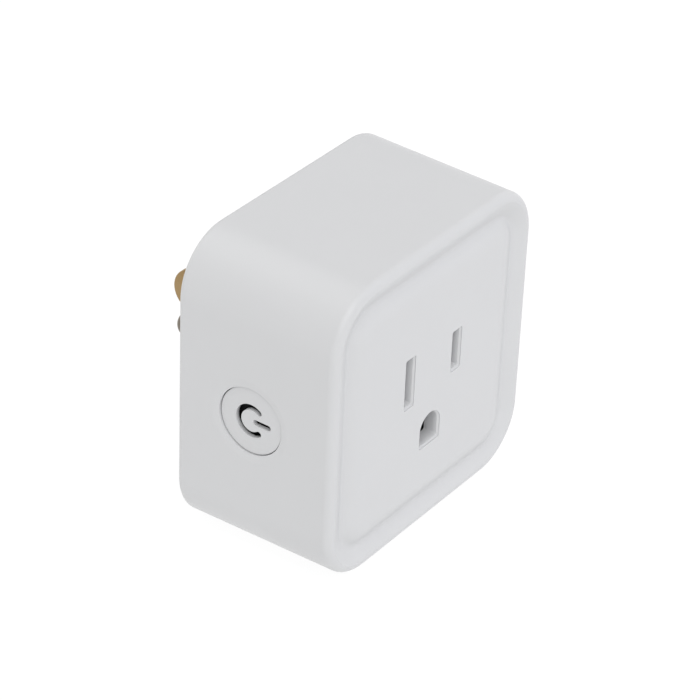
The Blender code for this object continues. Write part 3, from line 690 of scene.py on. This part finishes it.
# Small parts on its face: (x, z, whether it stands upright)
SMALL_PARTS = [(12.6, -1.6, False), (12.6, 0.2, False), (12.9, 2.0, False), (20.9, 5.8, True),
               (12.4, 13.2, True), (-13.2, -8.0, True), (-13.2, -4.6, True), (-13.6, 0.0, True),
               (-13.6, 3.4, True), (-13.0, 12.4, False), (-13.0, 14.4, False), (8.6, -19.4, True)]
# CAD nodes that only need finer edges: name of the piece, width of the rounding
REFINED = {
    "prong_retainer": ("retainer_plate", 0.3),
    "contact_carrier": ("contact_block", 0.25),
    "neutral_contact": ("neutral_spring_clip", 0.12),
    "line_contact": ("line_spring_clip", 0.12),
    "ground_contact": ("ground_spring_clip", 0.12),
    "ground_strap": ("ground_link", 0.12),
    "main_board": ("power_board", 0.12),
    "control_board": ("logic_board", 0.1),
    "relay_base": ("relay_foot", 0.15),
    "relay_case": ("relay_cover", 0.2),
    "relay_bobbin": ("coil_former", 0.1),
    "relay_core": ("coil_core", 0.12),
    "relay_yoke": ("magnet_frame", 0.12),
    "relay_armature": ("hinged_armature", 0.12),
    "relay_contact_spring": ("contact_leaf", 0.06),
    "relay_fixed_contact": ("contact_post", 0.08),
    "film_capacitor": ("line_filter_capacitor", 0.25),
}
BODY_OF = {node: body for body, nodes in frame["record"]["behaviour"]["bodies"].items()
           for node in nodes}
SLOT_OF = {part["node"]: part["material_slot"] for part in frame["record"]["subparts"]}


def extents(node):
    """A CAD node's box in millimetres, as (low, high) pairs along X, Y and Z."""
    low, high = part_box(node)
    return [(low[axis] / MM, high[axis] / MM) for axis in range(3)]


def middle(pair):
    return (pair[0] + pair[1]) / 2


def half_of(pair):
    return (pair[1] - pair[0]) / 2


def islands(*shapes):
    """Several separate solids as one mesh, such as a row of pins."""
    whole = bmesh.new()
    for shape in shapes:
        mesh = bpy.data.meshes.new("island")
        shape.to_mesh(mesh)
        shape.free()
        whole.from_mesh(mesh)
        bpy.data.meshes.remove(mesh)
    return whole


def add_piece(name, body, slot, bm, *nodes, round_edges=0.0):
    piece = new_object(name, bm, 30.0)
    if round_edges:
        soften(piece, round_edges, 3)
        settle(piece, 40.0)
        even_normals(piece)
    place(piece, body, slot, *nodes)


def refine(node, name, width):
    """A finer copy of a CAD node: its flat facets merged and its edges rounded."""
    bm = bmesh.new()
    bm.from_mesh(frame["nodes"][node].data)
    bmesh.ops.scale(bm, vec=(1 / MM, 1 / MM, 1 / MM), verts=bm.verts)
    bmesh.ops.dissolve_limit(bm, angle_limit=math.radians(1.0), verts=bm.verts, edges=bm.edges)
    add_piece(name, BODY_OF[node], SLOT_OF[node], bm, node, round_edges=width)


def wire_turns(start, end, radius, pitch):
    """A winding's outer profile: one small arch for each turn of wire."""
    turns = round((end - start) / pitch)
    step = (end - start) / turns
    profile = []
    for turn in range(turns):
        for point in range(5):
            share = point / 5
            bulge = math.sin(math.pi * share) * step / 2
            profile.append((start + (turn + share) * step, radius - step / 2 + bulge))
    profile.append((end, radius - step / 2))
    return profile


def cross_tools(centre, long_half, short_half, start, end):
    """Two crossed bars, which cut a score or a screwdriver recess."""
    return [box((centre[0] - a, centre[0] + a), (start, end), (centre[1] - b, centre[1] + b))
            for a, b in ((long_half, short_half), (short_half, long_half))]


def build_winding(node, name, bore):
    x, y, z = extents(node)
    profile = wire_turns(*y, half_of(x), WIRE_PITCH) + [(y[1], bore), (y[0], bore)]
    add_piece(name, "housing", "copper", turned("Y", (middle(x), middle(z)), profile, 64, tube=True),
              node)


def build_can(node, name):
    """An electrolytic capacitor: a crimped can in a sleeve, scored under its bright top disc."""
    x, (top, foot), z = extents(node)
    radius = half_of(x)
    centre = (middle(x), middle(z))
    roll = 0.35
    crimp = 0.32
    profile = [(top, radius - 0.9), (top, radius - 0.45)]
    profile += arc((top + roll, radius - roll), roll, 180, 90, 5)
    profile += arc((foot - 1.9, radius), crimp, 180, 360, 8)
    profile += [(foot - 0.3, radius), (foot, radius - 0.3)]
    can = new_object(name, turned("Y", centre, profile, 72), 30.0)
    lid = turned("Y", centre, [(top - 1.0, radius - 0.8), (top + 0.15, radius - 0.8)], 64)
    cross = cross_tools(centre, radius * 0.55, 0.12, top - 1.0, top + 0.25)
    combine(can, "DIFFERENCE", [lid, *cross], sharp=30.0)
    place(can, "housing", "sleeve", node)
    disc = turned("Y", centre, [(top + 0.1, radius - 0.95), (top + 0.14, radius - 0.85),
                                (top + 0.22, radius - 0.85)], 64)
    add_piece(f"{name}_top", "housing", "tin", disc)


def build_legged_chip(node, name, legs_a_side):
    """A moulded package with bent legs along its two Z sides, down to the board."""
    x, (top, foot), z = extents(node)
    room = 0.5              # of the CAD block, a side, for the legs
    ends = (z[0] + room, z[1] - room)
    body = box(x, (top, foot), ends)
    add_piece(name, "housing", "black_plastic", body, node, round_edges=0.15)
    legs = []
    pitch = (x[1] - x[0]) / legs_a_side
    waist = (top + foot) / 2
    for side, edge in zip((-1, 1), ends):
        bend = [(waist - 0.1, -0.2), (waist - 0.1, 0.45), (BOARD_FACE - 0.2, 0.45),
                (BOARD_FACE - 0.2, 0.9), (BOARD_FACE - 0.03, 0.9), (BOARD_FACE - 0.03, 0.28),
                (waist + 0.08, 0.28), (waist + 0.08, -0.2)]
        outline = [(y, edge + side * out) for y, out in bend]
        for number in range(legs_a_side):
            centre_x = x[0] + pitch * (number + 0.5)
            legs.append(prism(outline, centre_x - 0.2, centre_x + 0.2))
    add_piece(f"{name}_legs", "housing", "tin", islands(*legs))


def build_screws():
    """Two pan-head screws with rolled threads and a cross recess."""
    for side in ("left", "right"):
        node = f"retainer_screw_{side}"
        x, (top, point), z = extents(node)
        centre = (middle(x), middle(z))
        head = 0.9
        curve = 0.55
        root, crest = 0.8, 1.0
        profile = [(top, 1.1)]
        profile += arc((top + curve, 1.65), curve, 180, 90, 6)
        profile += [(top + head, 2.2), (top + head, crest)]
        thread = top + 1.3
        turns = 8
        pitch = (point - 0.5 - thread) / turns
        for turn in range(turns):
            profile += [(thread + turn * pitch, root), (thread + (turn + 0.5) * pitch, crest)]
        profile += [(point - 0.4, root), (point, 0.35)]
        screw = new_object(f"pan_screw_{side}", turned("Y", centre, profile, 48), 30.0)
        recess = cross_tools(centre, 1.15, 0.2, top - 1.0, top + 0.65)
        combine(screw, "DIFFERENCE", recess, sharp=30.0)
        place(screw, "housing", "steel", node)


def build_varistor():
    """A dipped disc, thick in the middle, on two leads."""
    x, y, z = extents("varistor")
    radius = half_of(z)
    half = half_of(x)
    centre = (y[0] + radius, middle(z))
    profile = []
    for step in range(13):
        angle = math.radians(10 + 160 * step / 12)
        profile.append((middle(x) - half * math.cos(angle), radius * (0.25 + 0.75 * math.sin(angle))))
    leads = [turned("Y", (middle(x) + side * 0.3, middle(z) + side * 2.2),
                    [(centre[0] + 2.0, 0.35), (BOARD_FACE, 0.35)], 24) for side in (-1, 1)]
    add_piece("varistor_disc", "housing", "varistor_blue", turned("X", centre, profile, 72),
              "varistor")
    add_piece("varistor_leads", "housing", "tin", islands(*leads))


def build_fuse_resistor():
    """An upright resistor with swollen ends and three painted bands."""
    x, (top, foot), z = extents("fuse_resistor")
    radius = half_of(x)
    centre = (middle(x), middle(z))
    waist = radius * 0.86
    edge = 0.6
    profile = arc((top + edge, radius - edge), edge, 180, 90, 5)
    profile += [(top + 2.0, radius), (top + 2.6, waist), (foot - 2.6, waist), (foot - 2.0, radius)]
    profile += arc((foot - edge, radius - edge), edge, 90, 0, 5)
    add_piece("resistor_body", "housing", "resistor_grey", turned("Y", centre, profile, 64),
              "fuse_resistor")
    bands = []
    for number in range(3):
        start = top + 3.2 + 1.1 * number
        end = start + 0.5
        band = [(start, waist + 0.03), (end, waist + 0.03), (end, waist - 0.1), (start, waist - 0.1)]
        bands.append(turned("Y", centre, band, 64, tube=True))
    add_piece("resistor_bands", "housing", "black_plastic", islands(*bands))


def build_inductor():
    """A drum core with its winding between two flanges."""
    x, (top, foot), z = extents("power_inductor")
    radius = half_of(x)
    edge = 0.2
    upper, lower = top + 1.0, foot - 1.0
    profile = [(top, radius - edge), (top + edge, radius), (upper - edge, radius),
               (upper, radius - edge), (upper, 2.6), (lower, 2.6), (lower, radius - edge),
               (lower + edge, radius), (foot - edge, radius), (foot, radius - edge)]
    add_piece("drum_core", "housing", "ferrite", turned("Y", (middle(x), middle(z)), profile, 72),
              "power_inductor")
    build_winding("inductor_winding", "choke_coil", 2.9)


def build_shield():
    """The radio module's tin can, with a grid of small vent dimples."""
    x, y, z = extents("shield_can")
    can = new_object("radio_shield", box(x, y, z))
    soften(can, 0.35, 3)
    settle(can, 40.0)
    dimples = [turned("X", (middle(y) + 2.4 * row, middle(z) + 2.4 * column),
                      [(x[1] - 0.15, 0.4), (x[1] + 0.5, 0.55)], 24)
               for row in (-1.5, -0.5, 0.5, 1.5) for column in (-2, -1, 0, 1, 2)]
    combine(can, "DIFFERENCE", dimples, sharp=30.0)
    place(can, "housing", "tin", "shield_can")


def build_header():
    """The row of pins that joins the two boards, in its moulded strip."""
    x, y, z = extents("pin_header")
    refine("pin_header", "header_strip", 0.2)
    pins = 8
    pitch = 2.54
    half = 0.3              # of a pin's thickness
    first = middle(z) - pitch * (pins - 1) / 2
    posts = [box((middle(x) - half, middle(x) + half), (y[0] - 0.6, BOARD_FACE + 1.9),
                 (first + pitch * pin - half, first + pitch * pin + half)) for pin in range(pins)]
    add_piece("header_pins", "housing", "brass", islands(*posts), round_edges=0.1)


def build_switch():
    """The tactile switch: a body, a riveted tin plate over it and a round plunger."""
    x, y, z = extents("tactile_switch_body")
    face = x[0]
    centre = (middle(y), middle(z))
    refine("tactile_switch_body", "switch_body", 0.2)
    plate = new_object("switch_plate", box((face - 0.18, face - 0.02), (y[0] + 0.2, y[1] - 0.2),
                                           (z[0] + 0.2, z[1] - 0.2)))
    combine(plate, "DIFFERENCE", [turned("X", centre, [(face - 1, 1.9), (face + 1, 1.9)], 48)])
    place(plate, "housing", "tin")
    rivet = [(face - 0.34, 0.25), (face - 0.3, 0.38), (face - 0.1, 0.42)]
    rivets = [turned("X", (centre[0] + 2.2 * a, centre[1] + 2.2 * b), rivet, 24)
              for a in (-1, 1) for b in (-1, 1)]
    add_piece("switch_rivets", "housing", "black_plastic", islands(*rivets))
    x, y, z = extents("tactile_switch_plunger")
    radius = half_of(y)
    profile = [(x[0], radius - 0.25), (x[0] + 0.08, radius - 0.08), (x[0] + 0.25, radius),
               (x[1], radius)]
    add_piece("switch_plunger_pin", "switch_plunger", "black_plastic",
              turned("X", (middle(y), middle(z)), profile, 64), "tactile_switch_plunger")


def build_leds():
    """Two side-view lamps: a package with a shallow dome."""
    for level in ("upper", "lower"):
        node = f"status_led_{level}"
        x, y, z = extents(node)
        refine(node, f"lamp_{level}", 0.1)
        dome = [(x[0] - 0.22 * math.cos(angle), 0.42 * math.sin(angle) + 0.02)
                for angle in (math.radians(15 * step) for step in range(7))]
        add_piece(f"lamp_{level}_dome", "housing", "led",
                  turned("X", (middle(y), middle(z)), dome, 32))


def chip_box(x, z, half_length, half_width, height, upright):
    """A block that stands on the board's face, its length along X, or along Z if upright."""
    half_x, half_z = (half_width, half_length) if upright else (half_length, half_width)
    return box((x - half_x, x + half_x), (BOARD_FACE - height, BOARD_FACE), (z - half_z, z + half_z))


def build_board_details():
    """Solder joints on the rear side, and small surface-mounted parts among the big ones."""
    joints = []
    for x, z in SOLDER_PLACES:
        dome = [(BOARD_BACK - 0.02 + 0.38 * math.sin(angle), 0.85 * math.cos(angle) + 0.02)
                for angle in (math.radians(15 * step) for step in range(7))]
        joints.append(turned("Y", (x, z), dome, 24))
    add_piece("solder_joints", "housing", "tin", islands(*joints))
    bodies = []
    caps = []
    long_half = 0.8
    for x, z, upright in SMALL_PARTS:
        bodies.append(chip_box(x, z, long_half, 0.42, 0.5, upright))
        for shift in (-long_half, long_half):
            centre_x, centre_z = (x, z + shift) if upright else (x + shift, z)
            caps.append(chip_box(centre_x, centre_z, 0.2, 0.46, 0.54, upright))
    add_piece("chip_parts", "housing", "black_plastic", islands(*bodies), round_edges=0.05)
    add_piece("chip_part_ends", "housing", "tin", islands(*caps), round_edges=0.05)


def build_light_guide():
    """The smoked guide behind the symbol, with a pin that reaches the switch."""
    x, y, z = extents("button_light_guide")
    radius = half_of(y)
    plate = BUTTON_FACE + FACE_THICK + GAP
    flange = -FRONT_HALF_X + WALL + GAP + FLANGE_THICK
    edge = 0.15
    profile = [(plate, radius - edge), (plate + edge, radius), (flange - edge, radius),
               (flange, radius - edge), (flange, 1.4), (x[1] - 0.2, 1.4), (x[1], 1.2)]
    add_piece("light_guide", "button", "smoke_guide", turned("X", (middle(y), middle(z)), profile),
              "button_light_guide")


def build_inside():
    """Every piece inside the housing."""
    for node, (name, width) in REFINED.items():
        refine(node, name, width)
    build_winding("relay_winding", "relay_coil", 2.4)
    build_can("input_capacitor", "bulk_capacitor")
    build_can("output_capacitor", "filter_capacitor")
    build_legged_chip("bridge_rectifier", "rectifier_package", 2)
    build_legged_chip("converter_chip", "converter_package", 4)
    build_screws()
    build_varistor()
    build_fuse_resistor()
    build_inductor()
    build_shield()
    build_header()
    build_switch()
    build_leds()
    build_board_details()
    build_light_guide()


# ---------------------------------------------------------------- stage, lights, camera
def build_stage():
    """A plain floor that glows, as a lit sweep does, so it stays white."""
    bpy.ops.mesh.primitive_plane_add(size=20, location=(0, 0, CAD_BOX[0].z))
    floor = bpy.context.object
    floor.name = "floor"
    made = Nodes("floor", 0.8)
    made.feed(made.ramp(made.noise(3.0), [(0.3, (0.11, 0.11, 0.11)), (0.7, (0.13, 0.13, 0.13))]),
              "Base Color")
    made.shader.inputs["Emission Color"].default_value = (1, 1, 1, 1)
    made.shader.inputs["Emission Strength"].default_value = FLOOR_GLOW
    wear(floor, made.material)


def soft_sun(name, towards, strength, colour=(1, 1, 1)):
    """A broad light from the given direction."""
    data = bpy.data.lights.new(name, "SUN")
    data.energy = strength
    data.angle = math.radians(SUN_ANGLE)
    data.color = colour
    lamp = bpy.data.objects.new(name, data)
    bpy.context.scene.collection.objects.link(lamp)
    lamp.rotation_euler = Vector(towards).to_track_quat("Z", "Y").to_euler()


def build_lights():
    """A white surround, a key light over the button's side, and fills."""
    world = bpy.data.worlds.new("studio")
    bpy.context.scene.world = world
    world.use_nodes = True
    background = world.node_tree.nodes["Background"]
    background.inputs["Color"].default_value = (1, 1, 1, 1)
    background.inputs["Strength"].default_value = WORLD_STRENGTH
    soft_sun("key", (-0.45, -0.45, 0.77), 1.25)
    soft_sun("overhead_front", (0, -0.5, 0.87), 0.42)
    soft_sun("overhead_back", (0, 0.5, 0.87), 0.56)
    soft_sun("front_fill", (-0.7, -0.7, 0.35), 0.14, (0.75, 0.85, 1.0))
    soft_sun("right_fill", (0.7, -0.7, 0.35), 0.32, (0.82, 0.84, 1.0))
    soft_sun("side_fill", (1.0, 0, 0.25), 0.45)
    soft_sun("back_fill", (0, 1.0, 0.25), 0.45)
    bpy.context.scene.view_settings.view_transform = "Standard"


def build_camera():
    """A long lens, looking down at the corner between the button's side and the socket."""
    azimuth, elevation, roll = (math.radians(a) for a in (-55.01, 33.04, 2.46))
    distance = 492.5
    aim = Vector((-0.5, -14.2, 0.1))
    back = Vector((math.sin(azimuth) * math.cos(elevation),
                   -math.cos(azimuth) * math.cos(elevation), math.sin(elevation)))
    level = Vector((math.cos(azimuth), math.sin(azimuth), 0))
    upright = back.cross(level)
    right = level * math.cos(roll) + upright * math.sin(roll)
    up = back.cross(right)
    data = bpy.data.cameras.new("camera")
    data.sensor_width = 36.0
    data.lens = 157.89
    data.clip_start = 0.01
    camera = bpy.data.objects.new("camera", data)
    bpy.context.scene.collection.objects.link(camera)
    turn = Matrix((right, up, back)).transposed().to_4x4()
    camera.matrix_world = Matrix.Translation((aim + back * distance) * MM) @ turn
    bpy.context.scene.camera = camera


MATERIALS = make_materials()
build_camera()
build_lights()
build_stage()
for cad_node, slot_name in SLOT_OF.items():
    wear(frame["nodes"][cad_node], MATERIALS[slot_name])
build_shell()
build_back_cover()
build_button()
build_blade("neutral_prong", "neutral_blade")
build_blade("line_prong", "line_blade")
build_ground_pin()
build_inside()
